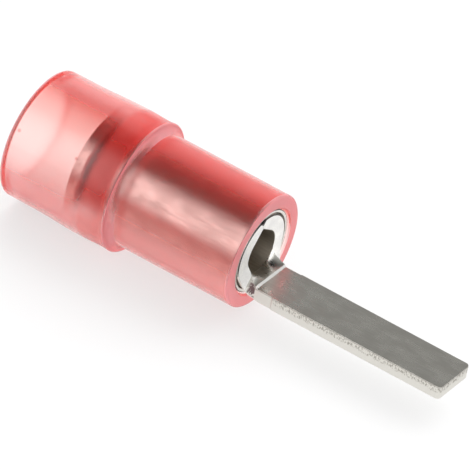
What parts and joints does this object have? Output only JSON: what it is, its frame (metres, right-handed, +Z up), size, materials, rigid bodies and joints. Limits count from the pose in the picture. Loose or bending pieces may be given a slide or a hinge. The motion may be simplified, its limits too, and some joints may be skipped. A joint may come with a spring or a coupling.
{
  "type": "insulated male spade terminal",
  "caption": "Crimp terminal with a flat blade, a rolled barrel and a stepped translucent red insulating sleeve, for ending a stranded wire.",
  "frame": {"origin": "on the surface it lies on, under the middle of its overall box", "axes": "+X along the barrel's axis towards the blade's tip, +Z up, out of the blade's upper side and through the barrel's seam"},
  "size_m": [0.0214, 0.006, 0.006],
  "materials": {
    "red_nylon": "translucent moulded nylon, satin gloss",
    "tinned_sleeve": "bright tin plate on copper tube",
    "tinned_copper": "satin tin plate on copper sheet"
  },
  "bodies": {
    "root": {"insulating_sleeve": "red_nylon", "support_sleeve": "tinned_sleeve", "blade_terminal": "tinned_copper"}
  },
  "joints": []
}
